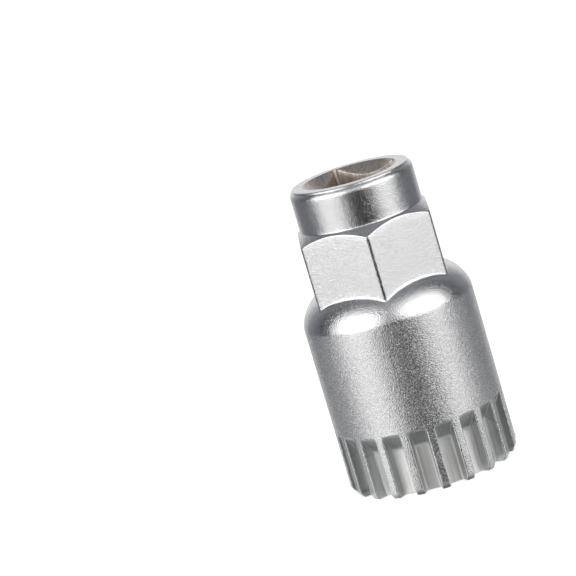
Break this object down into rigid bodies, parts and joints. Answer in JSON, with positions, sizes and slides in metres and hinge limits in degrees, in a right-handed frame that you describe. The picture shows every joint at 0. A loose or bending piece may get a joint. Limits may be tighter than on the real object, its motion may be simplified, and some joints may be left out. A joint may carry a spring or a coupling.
{
  "type": "bottom bracket tool",
  "caption": "Splined socket for cartridge bottom brackets: toothed end with a spindle bore, domed body, spanner hexagon and a collar with a drive square.",
  "frame": {"origin": "on the socket's axis, in the plane of the tooth tips at the splined end", "axes": "+Z along the axis from the splined end to the drive square; a corner of the hexagon points to -Y and two of its flats face +X and -X"},
  "size_m": [0.0316, 0.0316, 0.057],
  "materials": {
    "satin_plated_steel": "satin plated, fine blasted grain"
  },
  "bodies": {
    "root": {"splined_socket": "satin_plated_steel"}
  },
  "joints": []
}
